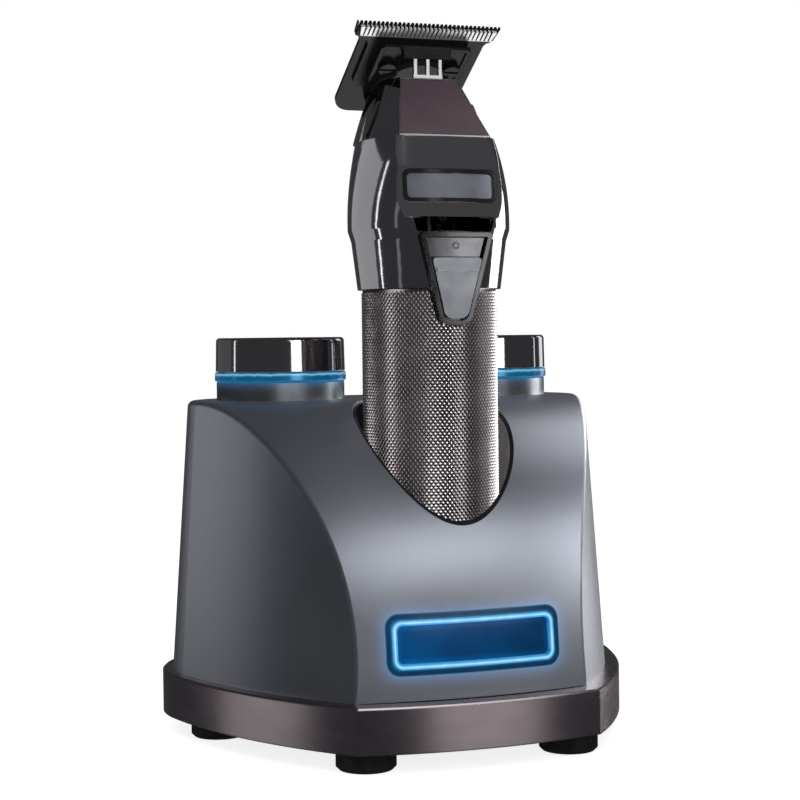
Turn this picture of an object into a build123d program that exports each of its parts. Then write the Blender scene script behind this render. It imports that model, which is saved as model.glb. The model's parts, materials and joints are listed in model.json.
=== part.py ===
"""Cordless T-blade hair trimmer standing in its lit charging dock, with two screw-capped jars behind it.

Frame: millimetres, +Z up, front towards -Y. The origin lies on the table, under the middle of the dock's
plinth. One STEP file per piece is written to parts/.
"""
import math
import os

from build123d import *

# ---- dock, driving dimensions -------------------------------------------------------------------
FOOT_H = 5.0  # rubber feet, table to plinth
PLINTH_TOP = 16.5
DOCK_TOP = 88.7
DOCK_HALF_DEPTH = 51.7
FRONT_HALF_W = 32.1  # half width of the narrow front
BODY_FRONT_HALF_W = 29.6  # the same for the body above the plinth, before its inset
FRONT_BOW = 4.0  # how far the front bulges at its middle
SIDE_SAGITTA = 4.6  # bulge of the flared sides over their chord
REAR_CORNER_R = 32.0
REAR_CORNER_X = 31.7
REAR_CORNER_ARC = 101.0  # degrees turned by a rear corner, from the flat back to the side
BODY_INSET = 2.8  # plinth ledge round the dock's body
BODY_DRAFT = 4.0  # degrees
BOW_R = 150.0  # radius of the body's front in plan
WALL = 2.2
FACE_DEPTH = 45.0  # semi-axes of the elliptical front profile
FACE_H = DOCK_TOP - PLINTH_TOP
FIT = 0.1  # gap left between pieces that are assembled together

# ---- trimmer, driving dimensions ----------------------------------------------------------------
TRIM_Y = -14.2  # the trimmer's axis
TRIM_FOOT_Z = 24.0  # its lower end, on the pocket's floor
GRIP_R = 17.5
GRIP_Z0, GRIP_Z1 = 29.0, 117.4
WAIST_TOP = 132.6
HEAD_Z0, HEAD_Z1 = 133.0, 155.8
NOSE_TOP = 172.0
HEAD_WALL = 1.6

# ---- pocket, jars -------------------------------------------------------------------------------
POCKET_R = 19.9
POCKET_Y = TRIM_Y - 1.9
POCKET_WALL = 0.9
POCKET_FLOOR_T = 2.0
JAR_X, JAR_Y = 29.9, 22.3
JAR_R = 14.7
JAR_FLOOR = 42.0
WELL_R = 15.1
COLLAR_R = 17.45
COLLAR_TOP = 93.7
RING_R = 17.9
RING_TOP = 96.2
CAP_TOP = 105.5
CAP_R = 17.65
NECK_R = 13.2
NECK_TOP = 103.3

# ---- window, charging pins, power inlet ---------------------------------------------------------
WINDOW_W, WINDOW_H, WINDOW_Z = 46.0, 15.0, 30.2
FRAME_W = 1.5  # window frame, and the lit bead inside it
BEAD = 1.3
PIN_X = 5.0
PIN_R = 0.9
INLET_Z = 24.0
INLET_R = 4.5

# ---- blade set: a stack on a slope that falls to the rear ---------------------------------------
SLOPE = 31.0  # degrees below the horizontal, going back
BLADE_TIP_Y, BLADE_TIP_Z = -2.3, 186.2  # tooth tips, from the trimmer's axis
TOOTH_PITCH = 1.15
TEETH = 34
TOOTH_GAP = 0.5
FIXED_T = 1.1
MOVING_T = 0.9
BLADE_STROKE = 1.2
MOVING_TOP = -FIXED_T - 0.03  # heights in the stack, measured from the fixed blade's top
MOVING_BOTTOM = MOVING_TOP - MOVING_T
GUIDE_TOP = MOVING_BOTTOM - 0.03
GUIDE_BOTTOM = -4.9
SEAT = -7.0  # top of the head under the blade set
BLADE_SCREW_X, BLADE_SCREW_S = 8.9, 12.5
MOUNT_SCREW_X, MOUNT_SCREW_S = 8.5, 29.0
YOKE_WINDOW = (7.4, 8.6, 12.5)  # half width, front and rear
ECCENTRIC = 1.1
DRIVE_PIN_R = 1.0

SIDES = {"left": -1, "right": 1}


# ---- small helpers ------------------------------------------------------------------------------
def rod(r, z0, z1, x=0.0, y=0.0):
    return Pos(x, y, z0) * Cylinder(r, z1 - z0, align=(Align.CENTER, Align.CENTER, Align.MIN))


def tube(r_out, r_in, z0, z1, x=0.0, y=0.0):
    return rod(r_out, z0, z1, x, y) - rod(r_in, z0 - 1, z1 + 1, x, y)


def block(x0, x1, y0, y1, z0, z1):
    return Pos(x0, y0, z0) * Box(x1 - x0, y1 - y0, z1 - z0, align=(Align.MIN,) * 3)


def turned(points, x=0.0, y=0.0):
    """A solid of revolution about a vertical axis, from its (radius, z) outline."""
    face = make_face(Polyline(*[(r, 0, z) for r, z in points], close=True))
    return Pos(x, y, 0) * revolve(face, Axis.Z, 360)


def solids_of(piece):
    """The separate solids of a piece, which may be one shape or a list of them."""
    return [s for shape in (piece if isinstance(piece, list) else [piece]) for s in shape.solids()]


def at_trimmer(piece):
    """Moves a piece modelled about the trimmer's own axis to its place in the dock."""
    return [Pos(0, TRIM_Y, 0) * s for s in solids_of(piece)]


def save(name, piece):
    solids = solids_of(piece)
    export_step(solids[0] if len(solids) == 1 else Compound(children=solids), f"parts/{name}.step")


# ---- dock: outline and outer form ---------------------------------------------------------------
def on_corner(degrees):
    """A point of the right rear corner's arc, degrees turned from the flat back."""
    a = math.radians(90 - degrees)
    y = DOCK_HALF_DEPTH - REAR_CORNER_R
    return REAR_CORNER_X + REAR_CORNER_R * math.cos(a), y + REAR_CORNER_R * math.sin(a)


def plan_outline(inset=0.0, front_half_w=FRONT_HALF_W):
    """The dock's plan: narrow bowed front, flared bulging sides, round rear corners, flat back."""
    front_y = -DOCK_HALF_DEPTH + FRONT_BOW
    w = front_half_w
    side_x, side_y = on_corner(REAR_CORNER_ARC)
    chord = Vector(side_x - w, side_y - front_y)
    out = Vector(chord.Y, -chord.X).normalized() * SIDE_SAGITTA
    bulge = Vector((side_x + w) / 2, (side_y + front_y) / 2) + out
    corner = on_corner(REAR_CORNER_ARC / 2)
    rear = on_corner(0)
    edges = [ThreePointArc((-w, front_y), (0, -DOCK_HALF_DEPTH), (w, front_y))]
    for s in (1, -1):
        edges.append(ThreePointArc((s * w, front_y), (s * bulge.X, bulge.Y), (s * side_x, side_y)))
        edges.append(ThreePointArc((s * side_x, side_y), (s * corner[0], corner[1]), (s * rear[0], rear[1])))
    edges.append(Line(rear, (-rear[0], rear[1])))
    face = make_face(Wire(edges))
    return offset(face, -inset, kind=Kind.INTERSECTION) if inset else face


def front_form(skin):
    """Everything under the elliptical front profile and the flat top, bowed in plan, moved in by skin."""
    front_y = TRIM_Y - 31.0
    centre_y = front_y + FACE_DEPTH
    top = DOCK_TOP - skin
    lip = front_y + skin
    arc = EllipticalCenterArc((centre_y, PLINTH_TOP), FACE_DEPTH - skin, FACE_H - skin, 90, arc_size=90)
    back = lip + BOW_R - skin
    rest = Polyline((lip, PLINTH_TOP), (lip, 0), (back, 0), (back, top), (centre_y, top))
    profile = Plane.YZ * make_face(Wire(arc.edges() + rest.edges()))
    return revolve(profile, Axis((0, front_y + BOW_R, 0), (0, 0, 1)), 360)


def dock_form(skin=0.0):
    """The dock's body as a full solid, every wall moved in by skin."""
    plan = Pos(0, 0, PLINTH_TOP) * plan_outline(BODY_INSET + skin, BODY_FRONT_HALF_W)
    return extrude(plan, FACE_H + 5, taper=BODY_DRAFT) & front_form(skin)


def window_prism(inset=0.0, corner=3.4):
    """The window's rounded rectangle, run through the dock's front."""
    outline = RectangleRounded(WINDOW_W - 2 * inset, WINDOW_H - 2 * inset, corner - inset * 0.6)
    return Pos(0, -60, WINDOW_Z) * extrude(Rot(90, 0, 0) * outline, -35)


def pocket_hole(gap=0.0, top=120.0):
    return rod(POCKET_R + POCKET_WALL + gap, TRIM_FOOT_Z - POCKET_FLOOR_T - gap, top, 0, POCKET_Y)


def screw_posts():
    return [(50.5, 33), (-50.5, 33), (41, -20), (-41, -20)]


# ---- dock: pieces -------------------------------------------------------------------------------
def dock_shell():
    form = dock_form()
    soft = form.edges().filter_by(lambda e: e.center().Z > PLINTH_TOP + 1 and e.length > 20)
    outer = fillet(soft, 1.8)
    shell = outer - (dock_form(WALL) + Pos(0, 0, -1) * extrude(plan_outline(6, BODY_FRONT_HALF_W), PLINTH_TOP))
    shell -= pocket_hole(FIT)
    shell -= window_prism(-FIT)
    for s in SIDES.values():
        shell -= rod(COLLAR_R - 0.5 + FIT, 60, 120, s * JAR_X, JAR_Y)
    shell -= Pos(0, 40, INLET_Z) * Rot(-90, 0, 0) * Cylinder(INLET_R + FIT, 30)
    inside = dock_form(WALL / 2) + extrude(plan_outline(5.6, BODY_FRONT_HALF_W), PLINTH_TOP)
    for x, y in screw_posts():
        post = rod(3.6, FOOT_H + 2.6, 34, x, y) + post_rib(x, y)
        shell += (post & inside) - rod(1.35, 0, 26, x, y)
    return shell


def post_rib(x, y):
    """A web from a screw post out to the dock's wall."""
    turn = math.degrees(math.atan2(y, x))
    web = Pos(9, 0, 27) * Box(18, 2, 14)
    return Pos(x, y, 0) * Rot(0, 0, turn) * web


def dock_plinth():
    band = extrude(Pos(0, 0, FOOT_H) * plan_outline(), PLINTH_TOP - FOOT_H)
    band = chamfer(band.edges().group_by(Axis.Z)[-1], 0.5)
    hollow = extrude(plan_outline(5.0), PLINTH_TOP + 1)
    return band - hollow


def dock_floor():
    plate = extrude(Pos(0, 0, FOOT_H) * plan_outline(5.1), 2.5)
    for x, y in screw_posts():
        plate -= rod(1.6, 0, 10, x, y) + rod(2.9, 0, FOOT_H + 1.5, x, y)
    for x, y in foot_places():
        plate -= rod(2.1, 0, 10, x, y)
    return plate


def foot_places():
    return [(51, 12), (-51, 12), (27.2, -39), (-27.2, -39)]


def rubber_feet():
    feet = []
    for x, y in foot_places():
        pad = chamfer(rod(7.5, 0, FOOT_H, x, y).edges().group_by(Axis.Z)[0], 0.8)
        feet.append(pad + rod(2.0, FOOT_H, FOOT_H + 3, x, y))
    return feet


def floor_screws():
    screws = []
    for x, y in screw_posts():
        slot = block(x - 2, x + 2, y - 0.3, y + 0.3, 0, FOOT_H + 0.7)
        head = rod(2.7, FOOT_H + 0.1, FOOT_H + 1.5, x, y) - slot
        screws.append(head + rod(1.3, FOOT_H + 1.5, 22, x, y))
    return screws


def clipper_pocket():
    cup = pocket_hole() - rod(POCKET_R, TRIM_FOOT_Z, 120, 0, POCKET_Y)
    cup &= dock_form(0.5)
    for s in SIDES.values():
        cup -= rod(PIN_R + 0.15, 10, 40, s * PIN_X, TRIM_Y)
    return cup


def contact_block():
    low = TRIM_FOOT_Z - POCKET_FLOOR_T - FIT
    body = block(-9, 9, TRIM_Y - 4.5, TRIM_Y + 4.5, low - 9, low)
    for s in SIDES.values():
        body -= rod(1.75, low - 8, low + 1, s * PIN_X, TRIM_Y)
    return body


def charge_pin(side):
    """A sprung contact pin with its collar under the pocket's floor."""
    top = TRIM_FOOT_Z + 0.8
    pin = fillet(rod(PIN_R, 18, top, side * PIN_X, TRIM_Y).edges().group_by(Axis.Z)[-1], 0.5)
    return pin + rod(1.55, 18.6, 19.8, side * PIN_X, TRIM_Y)


def pin_spring(side):
    """A compression spring under the pin's collar."""
    path = Helix(pitch=0.95, height=3.8, radius=1.2, center=(side * PIN_X, TRIM_Y, 14.4))
    start = Plane(path @ 0, z_dir=path % 0)
    return sweep(start * Circle(0.18), path)


def window_frame():
    """The dark frame set in the dock's front round the window."""
    ring = window_prism() - window_prism(FRAME_W)
    return ring & (front_form(-0.1) - front_form(2.4))


def window_light_guide():
    """The bead of clear plastic that lights up round the lens."""
    ring = window_prism(FRAME_W + 0.02) - window_prism(FRAME_W + BEAD)
    return ring & (front_form(-0.45) - front_form(2.4))


def window_lens():
    return window_prism(FRAME_W + BEAD + 0.03) & (front_form(0.7) - front_form(2.2))


def window_light_board():
    """A thin board that follows the window's curve, with a row of small lamps."""
    board = window_prism(2.0) & (front_form(3.6) - front_form(4.5))
    for i in range(6):
        lamp = Pos(-15 + 6 * i, -48, WINDOW_Z) * Box(2, 12, 2)
        board += lamp & (front_form(2.9) - front_form(3.7))
    return board


def main_board():
    """The charging board with its coil, capacitors and controller."""
    z = 13.0
    board = block(-34, 34, 8, 36, z, z + 1.6)
    top = z + 1.6
    parts = block(-8, 8, 12, 22, top, top + 2) + rod(5, top, top + 7, 22, 18)
    for x in (-28, -19):
        parts += rod(3.2, top, top + 8, x, 28)
    posts = [rod(2.4, FOOT_H + 2.5, z, x, y) for x in (-31, 31) for y in (11, 33)]
    for post in posts:
        parts += post
    return board + parts


def dc_inlet():
    """The barrel socket in the back wall, with a plain bore for the plug."""
    mouth = on_back(INLET_Z)
    turn = Rot(-90, 0, 0)
    barrel = Pos(0, mouth - 6, INLET_Z) * turn * Cylinder(INLET_R, 12)
    flange = Pos(0, mouth - WALL - 1.9, INLET_Z) * turn * Cylinder(INLET_R + 1.5, 1.6)
    bore = Pos(0, mouth - 4.5, INLET_Z) * turn * Cylinder(1.8, 9.0 + 0.002)
    return barrel + flange - bore


def on_back(z):
    """Where the drafted back wall stands at height z."""
    return DOCK_HALF_DEPTH - BODY_INSET - (z - PLINTH_TOP) * math.tan(math.radians(BODY_DRAFT)) + 0.3


def ballast_weight():
    plate = block(-22, 22, -38, -6, FOOT_H + 2.5, FOOT_H + 6.5)
    return fillet(plate.edges().filter_by(Axis.Z), 4)


# ---- jars ---------------------------------------------------------------------------------------
def jar_collar(side):
    """The cup the jar stands in: a collar above the dock's top and a well below."""
    x = side * JAR_X
    cup = rod(COLLAR_R - 0.5, JAR_FLOOR - 2, DOCK_TOP + 1, x, JAR_Y)
    rim = rod(COLLAR_R, DOCK_TOP, COLLAR_TOP, x, JAR_Y)
    rim = chamfer(rim.edges().group_by(Axis.Z)[-1], 0.3)
    cup += rim
    cup -= rod(WELL_R, JAR_FLOOR, 120, x, JAR_Y)
    return cup - rod(16.6, COLLAR_TOP - 1.2, 120, x, JAR_Y)


def ring_light(side):
    """The small ring board that lights the glowing ring from below."""
    x = side * JAR_X
    return tube(16.5, WELL_R + 0.1, COLLAR_TOP - 1.2, COLLAR_TOP - 0.2, x, JAR_Y)


def light_ring(side):
    x = side * JAR_X
    ring = tube(RING_R, WELL_R, COLLAR_TOP, RING_TOP, x, JAR_Y)
    outer = ring.edges().filter_by(lambda e: abs(e.length - 2 * math.pi * RING_R) < 0.5)
    return fillet(outer.filter_by(GeomType.CIRCLE), 0.5)


def jar(side):
    """A plastic jar with a shoulder and a plain neck under its cap."""
    shoulder = RING_TOP - 0.6
    outside = [(0, JAR_FLOOR), (JAR_R - 1, JAR_FLOOR), (JAR_R, JAR_FLOOR + 1), (JAR_R, shoulder - 1.5)]
    outside += [(NECK_R, shoulder), (NECK_R, NECK_TOP), (0, NECK_TOP)]
    inside = [(0, JAR_FLOOR + 1.6), (JAR_R - 1.6, JAR_FLOOR + 1.6), (JAR_R - 1.6, shoulder - 3.4)]
    inside += [(NECK_R - 1.6, shoulder - 1.8), (NECK_R - 1.6, NECK_TOP + 1), (0, NECK_TOP + 1)]
    x = side * JAR_X
    return turned(outside, x, JAR_Y) - turned(inside, x, JAR_Y)


def jar_cap(side):
    x = side * JAR_X
    low = RING_TOP + 0.2
    cap = turned([(0, low), (CAP_R, low), (CAP_R - 0.2, CAP_TOP), (0, CAP_TOP)], x, JAR_Y)
    cap = fillet(cap.edges().group_by(Axis.Z)[-1], 1.0)
    return cap - rod(NECK_R + 0.3, low - 1, NECK_TOP + 0.85, x, JAR_Y)


def cap_seal(side):
    return rod(NECK_R + 0.1, NECK_TOP + 0.02, NECK_TOP + 0.84, side * JAR_X, JAR_Y)


# ---- trimmer: outer forms, about its own axis ---------------------------------------------------
def oval(z, half_w, front, rear):
    """A level oval section."""
    return Pos(0, (front + rear) / 2, z) * Ellipse(half_w, (rear - front) / 2)


def lower_sections(skin):
    """Height, half width, front and rear of the head from the shoulder up to the ridge."""
    rows = [
        (WAIST_TOP, 21.0, -21.0, 21.0),
        (141.0, 20.6, -21.5, 22.2),
        (149.0, 19.2, -21.5, 24.0),
        (HEAD_Z1, 17.4, -20.0, 25.2),
    ]
    return [oval(z, w - skin, f + skin, r - skin) for z, w, f, r in rows]


def upper_sections(skin):
    """The same above the ridge, behind the faceted nose."""
    rows = [
        (HEAD_Z1, 17.2, -12.0, 24.9),
        (164.5, 13.7, -6.0, 24.8),
        (180.0, 6.5, 4.0, 21.0),
    ]
    return [oval(z, w - skin, f + skin, r - skin) for z, w, f, r in rows]


def nose_facets(skin):
    """The flat-faced front of the nose, drawn in from the ridge to its top."""
    low = [(12.4, -13.0), (16.7, -4.0), (16.7, 6.0)]
    high = [(7.7, -1.1), (10.0, 3.0), (10.0, 8.0)]
    faces = []
    for z, side in ((HEAD_Z1, low), (NOSE_TOP, high)):
        outline = side + [(-x, y) for x, y in reversed(side)]
        face = make_face(Polyline(*outline, close=True))
        faces.append(Pos(0, 0, z) * offset(face, -skin, kind=Kind.INTERSECTION))
    return loft(faces, ruled=True)


def head_front(skin):
    """The bowed front of the waist and head: a side profile turned about a far upright axis."""
    line = [
        (-26.0, GRIP_Z1 - 12),
        (-26.0, 131.4),
        (-18.6, 135.2),
        (-17.9, 139.0),
        (-17.2, 148.0),
        (-14.4, HEAD_Z1 + 0.1),
        (-14.4, 190.0),
    ]
    bow = 44.0
    points = [(y + skin, z) for y, z in line] + [(bow - 17.0, 190.0), (bow - 17.0, line[0][1])]
    face = make_face(Plane.YZ * Polyline(*points, close=True))
    return revolve(face, Axis((0, bow - 17.0, 0), (0, 0, 1)), 360)


def head_bulk(skin):
    """Waist, shoulder and head before the top is cut for the blade set."""
    low = GRIP_Z1 + FIT
    neck = oval(129.8, 20.1 - skin, -20.1 + skin, 20.1 - skin)
    lower = lower_sections(skin)
    waist = loft([oval(low, 18.6 - skin, -18.6 + skin, 18.6 - skin), neck])
    form = waist + loft([neck, lower[0]]) + loft(lower)
    return (form & head_front(skin)) + loft(upper_sections(skin)) + nose_facets(skin)


def head_form(skin=0.0):
    """The waist and head as one solid, every wall moved in by skin."""
    bulk = head_bulk(skin) - on_slope(block(-30, 30, -20, 60, SEAT - skin, 40))
    return bulk - block(-30, 30, -30, 14.0, NOSE_TOP - skin, 190)


def on_slope(shape):
    """Places a piece of the blade set: x across, y from the tooth tips back, z up through the stack."""
    return Pos(0, BLADE_TIP_Y, BLADE_TIP_Z) * Rot(-SLOPE, 0, 0) * shape


def split_front(gap):
    return block(-40, 40, -40, gap, 100, 200)


# ---- trimmer: grip ------------------------------------------------------------------------------
def grip_sleeve():
    sleeve = tube(GRIP_R, 16.3, GRIP_Z0, GRIP_Z1)
    sleeve = chamfer(sleeve.edges().group_by(Axis.Z)[0], 0.25)
    return sleeve - shield_prism(-FIT)


def inner_tube():
    """The chassis that carries the cell, the board and the motor."""
    body = tube(16.2, 15.0, GRIP_Z0 + 0.1, GRIP_Z1)
    body += tube(15.0, 9.4, 33.2, 35.2) + tube(15.0, 9.95, 86, 89) + tube(15.0, 9.95, 112.5, 115)
    body -= block(-2.0, 2.0, -20, -12, 111, 125) + block(-4.7, 4.7, -14.4, -9, 111, 125)
    return body - block(-8.6, 8.6, -13.3, -10.6, 33, 110)


def end_cap():
    """The trimmer's foot, with a recess for the two charging contacts."""
    cap = turned([(0, 24), (15.8, 24), (17.3, 25.5), (17.3, GRIP_Z0 - FIT), (0, GRIP_Z0 - FIT)])
    spigot = tube(14.9, 13.5, GRIP_Z0 - FIT, 33)
    spigot -= block(-9, 9, -16, -9.5, 28.9, 34)
    return cap + spigot - block(-8.2, 8.2, -3.2, 3.2, 23, 25.6)


def charge_contacts():
    return [Pos(s * PIN_X, 0, 25.2) * Box(5, 5, 0.8) for s in SIDES.values()]


def battery_cell():
    cell = rod(9.2, 32.2, 82.0) + rod(2.8, 82.0, 83.2)
    return cell


def control_board():
    board = block(-8.2, 8.2, -12.3, -11.1, 35, 109)
    for z in (45, 60, 75, 97):
        board += block(-4, 4, -10.9 - 0.2, -9.9 - 0.05, z, z + 6)
    return board


def micro_switch():
    return block(-4.5, 4.5, -14.2, -11.5, 112.5 - 1.0, 121.5) - block(-5, 5, -20, -13.2, 113.4, 120.4)


# ---- trimmer: switch on the front ---------------------------------------------------------------
def tapered(half_top, half_low, low, top, r_low, r_top):
    """A level-topped outline that narrows downwards, with rounded corners."""
    corners = [(-half_low, low), (half_low, low), (half_top, top), (-half_top, top)]
    face = make_face(Polyline(*corners, close=True))
    face = fillet(face.vertices().group_by(Axis.Y)[0], r_low)
    return fillet(face.vertices().group_by(Axis.Y)[-1], r_top)


def shield_outline(inset):
    """The switch's shield: wide at the top, drawn in to a round tip."""
    face = tapered(9.8, 4.0, 108.0, 131.3, 3.3, 1.0)
    return offset(face, -inset, kind=Kind.INTERSECTION) if inset else face


def shield_prism(inset):
    return extrude(Plane.XZ * shield_outline(inset), 40)


def shield_face(depth):
    """Everything behind the shield's leaning face, lowered by depth."""
    points = [(-18.5 + depth, 100), (-20.6 + depth, 134), (0, 134), (0, 100)]
    return extrude(make_face(Plane.YZ * Polyline(*points, close=True)), 15, both=True)


def switch_bezel():
    body = shield_prism(0) & shield_face(0)
    body -= shield_prism(1.2) - shield_face(1.6)
    body -= rod(16.3, 100, 140)
    return body - block(-1.4, 1.4, -30, -10, 113, 121.6)


def switch_indicator():
    plate = shield_prism(1.3) & block(-10, 10, -30, 0, 125.2, 131) & (shield_face(1.25) - shield_face(1.6))
    ring = Pos(0, -20, 128) * Rot(90, 0, 0) * (Cylinder(0.9, 6) - Cylinder(0.6, 6))
    return plate - (ring & (shield_face(1.2) - shield_face(1.35)))


def switch_slider():
    """The sliding thumb-piece, with a rib for the thumb and a stem to the switch inside."""
    face = tapered(6.7, 2.9, 109.8, 124.9, 2.2, 0.8)
    top = extrude(Plane.XZ * face, 40) & (shield_face(-0.4) - shield_face(1.1))
    rib = block(-5.6, 5.6, -30, 0, 121.4, 122.5) & (shield_face(-1.1) - shield_face(0))
    stem = block(-1.0, 1.0, -19, -13.4, 113.8, 116.4)
    return top + rib + (stem & shield_face(0.5))


# ---- trimmer: housings --------------------------------------------------------------------------
def nose_prism(gap):
    """The tapering front of the nose, seen straight on."""
    face = make_face(Polyline((-12.0, 156.5), (12.0, 156.5), (7.5, 171.6), (-7.5, 171.6), close=True))
    return extrude(Plane.XZ * (offset(face, gap, kind=Kind.INTERSECTION) if gap else face), 40)


def badge_prism(inset):
    outline = RectangleRounded(25.4 - 2 * inset, 8.3 - 2 * inset, 1.8 - inset * 0.6)
    return Pos(0, -30, 143.1) * extrude(Rot(90, 0, 0) * outline, -20)


def housing():
    """Both halves of the chrome shell as one."""
    shell = head_form() - head_form(HEAD_WALL)
    shell += head_form(0.5) & tube(30, 10.0, 150.0, 152.0)
    shell -= yoke_window(160) + mount_holes(1.3)
    return shell - shield_prism(-FIT)


def front_housing():
    shell = housing() & split_front(-0.05)
    shell -= nose_prism(FIT) & split_front(4.5)
    shell -= badge_prism(0) & (head_form() - head_form(1.1))
    undercut = tapered(11.0, 10.0, 131.5, 135.3, 0.5, 0.5)
    shell -= extrude(Plane.XZ * undercut, 40) & block(-20, 20, -40, -16.4, 130, 137)
    return shell - rod(16.3, 100, 126)


def back_housing():
    return housing() - split_front(0.05) - rod(16.3, 100, 126)


def nose_cover():
    return nose_prism(0) & (head_form(0.1) - head_form(1.3)) & split_front(4)


def badge_bezel():
    return (badge_prism(FIT) - badge_prism(1.0)) & (head_form(-0.15) - head_form(1.0))


def badge_plate():
    return badge_prism(1.1) & (head_form(0.35) - head_form(1.0))


# ---- trimmer: drive -----------------------------------------------------------------------------
def motor_can():
    can = tube(9.8, 9.0, 89, 119) + tube(9.0, 3.1, 89, 90) + tube(9.0, 3.1, 118, 119)
    return can


def motor_bearings():
    return [tube(3.0, 1.05, 89, 91.5), tube(3.0, 1.05, 116.5, 119)]


def motor_rotor():
    return rod(7.6, 93, 115) + rod(1.0, 88.5, 158.0)


def eccentric():
    """The drive head on the shaft, with its pin off centre and a weight opposite."""
    hub = rod(3.2, 155.0, 158.4) - rod(1.03, 150, 158.0)
    weight = (rod(5.0, 155.0, 158.4) & block(-6, 6, -6, -1.2, 150, 160)) - rod(3.1, 150, 160)
    return hub + weight + rod(DRIVE_PIN_R, 158.4, 163.5, 0, ECCENTRIC)


def drive_yoke():
    """The fork over the drive pin and the arm that carries the moving blade."""
    slot = DRIVE_PIN_R + ECCENTRIC + BLADE_STROKE + 0.2
    fork = block(-5.6, 5.6, -3.6, 11.4, 159.4, 162.2) - block(-slot, slot, -5, 2.6, 150, 170)
    arm = block(-5.6, 5.6, 9.6, 11.4, 159.4, 190) - on_slope(block(-30, 30, -20, 60, MOVING_BOTTOM, 40))
    return fork + arm


# ---- trimmer: blade set -------------------------------------------------------------------------
def tee(half_w, tip, bar_end, neck_w, end, heel_r):
    """A T-blade's outline: crossbar at the tips, drawn-in neck, round heel corners."""
    r = 3.0
    half = [
        Line((0, tip), (half_w, tip)),
        Line((half_w, tip), (half_w - 0.5, bar_end - 1.0)),
        RadiusArc((half_w - 0.5, bar_end - 1.0), (half_w - 1.5, bar_end), -1.0),
        RadiusArc((half_w - 1.5, bar_end), (neck_w, bar_end + r), r * 1.2),
        Line((neck_w, bar_end + r), (neck_w, end - heel_r)),
        RadiusArc((neck_w, end - heel_r), (neck_w - heel_r, end), -heel_r),
        Line((neck_w - heel_r, end), (0, end)),
    ]
    wire = Wire([e for line in half for e in line.edges()])
    return make_face(wire.edges() + mirror(wire, Plane.YZ).edges())


def tooth_gaps(first, depth, width, z0, z1):
    """Wedge-shaped gaps between the teeth, widest at the tips."""
    mouth, root = width * 0.62, width * 0.4
    gap = make_face(Polyline((-mouth, -1), (mouth, -1), (root, depth), (-root, depth), close=True))
    cutter = extrude(Pos(0, 0, z0) * gap, z1 - z0)
    return [Pos(first + i * TOOTH_PITCH, 0, 0) * cutter for i in range(round(-2 * first / TOOTH_PITCH) + 1)]


def screw_places(x, s):
    return [(side * x, s) for side in SIDES.values()]


def mount_holes(r):
    """Holes for the two screws at the blade's heel."""
    places = screw_places(MOUNT_SCREW_X, MOUNT_SCREW_S)
    return on_slope(sum((rod(r, SEAT - 4, 1, x, y) for x, y in places), Part()))


def yoke_window(z0):
    """The shaft the drive yoke's arm moves in."""
    half_w, front, rear = YOKE_WINDOW
    return block(-half_w, half_w, front, rear, z0, 190)


def fixed_blade():
    plate = extrude(Pos(0, 0, -FIXED_T) * tee(19.7, 0, 5.2, 17.2, 35.7, 5.0), FIXED_T)
    plate -= Pos(0, 0, -0.35) * Rot(6.0, 0, 0) * block(-30, 30, -8, 20, 0, 10)
    plate -= Compound(children=tooth_gaps(-TOOTH_PITCH * (TEETH / 2 - 0.5), 3.9, TOOTH_GAP, -3, 3))
    for x, y in screw_places(BLADE_SCREW_X, BLADE_SCREW_S):
        plate -= rod(1.25, -3, 3, x, y)
    for x, y in screw_places(MOUNT_SCREW_X, MOUNT_SCREW_S):
        plate -= rod(1.3, -3, 3, x, y) + Pos(x, y, -0.35) * Cone(1.3, 2.4, 1.1)
    return on_slope(plate)


def moving_blade():
    plate = extrude(Pos(0, 0, MOVING_BOTTOM) * tee(18.6, 0.6, 4.8, 15.0, 24.0, 2.0), MOVING_T)
    span = TOOTH_PITCH * (TEETH / 2 - 2.0)
    plate -= Compound(children=[Pos(0, 0.6, 0) * g for g in tooth_gaps(-span, 3.2, TOOTH_GAP, -4, 0)])
    for x, y in screw_places(BLADE_SCREW_X, BLADE_SCREW_S):
        plate -= extrude(Pos(x, y, MOVING_BOTTOM - 1) * SlotCenterToCenter(2 * BLADE_STROKE + 0.4, 3.0), 3)
    return on_slope(plate)


def blade_guide():
    """The block that holds the moving blade against the fixed one."""
    toe = [(6.6, GUIDE_TOP), (5.4, -3.0), (4.5, -4.0), (4.5, GUIDE_BOTTOM)]
    side = toe + [(19.0, GUIDE_BOTTOM), (19.0, GUIDE_TOP)]
    body = extrude(make_face(Plane.YZ * Polyline(*side, close=True)), 12.4, both=True)
    body = chamfer(body.edges().filter_by(Axis.Z), 0.8)
    rim = block(-11.3, 11.3, 5.6, 30, GUIDE_BOTTOM - 1, GUIDE_BOTTOM + 0.5)
    body -= rim
    for x, y in screw_places(BLADE_SCREW_X, BLADE_SCREW_S):
        body -= rod(1.25, -6, 0, x, y)
    lip = block(-6.5, 6.5, -0.9, 1.2, 177.0, 184) - on_slope(block(-30, 30, -20, 60, GUIDE_BOTTOM + 0.5, 40))
    return on_slope(body) + lip - yoke_window(150)


def blade_spring():
    """Three upright fingers joined at their foot, between the head and the guide."""
    comb = block(-4.0, 4.0, -1.0, 0.2, NOSE_TOP + 0.05, NOSE_TOP + 0.9)
    for x in (-3.4, 0, 3.4):
        comb += block(x - 0.45, x + 0.45, -1.0, 0.2, NOSE_TOP + 0.05, 176.95)
    return comb


def blade_screws():
    screws = []
    for x, y in screw_places(BLADE_SCREW_X, BLADE_SCREW_S):
        low = GUIDE_BOTTOM + 0.5
        head = rod(2.3, low - 1.5, low) - block(-3, 3, -0.3, 0.3, -9, low - 1.0)
        screws.append(on_slope(Pos(x, y, 0) * (head + rod(1.2, low, -0.15))))
    return screws


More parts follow.
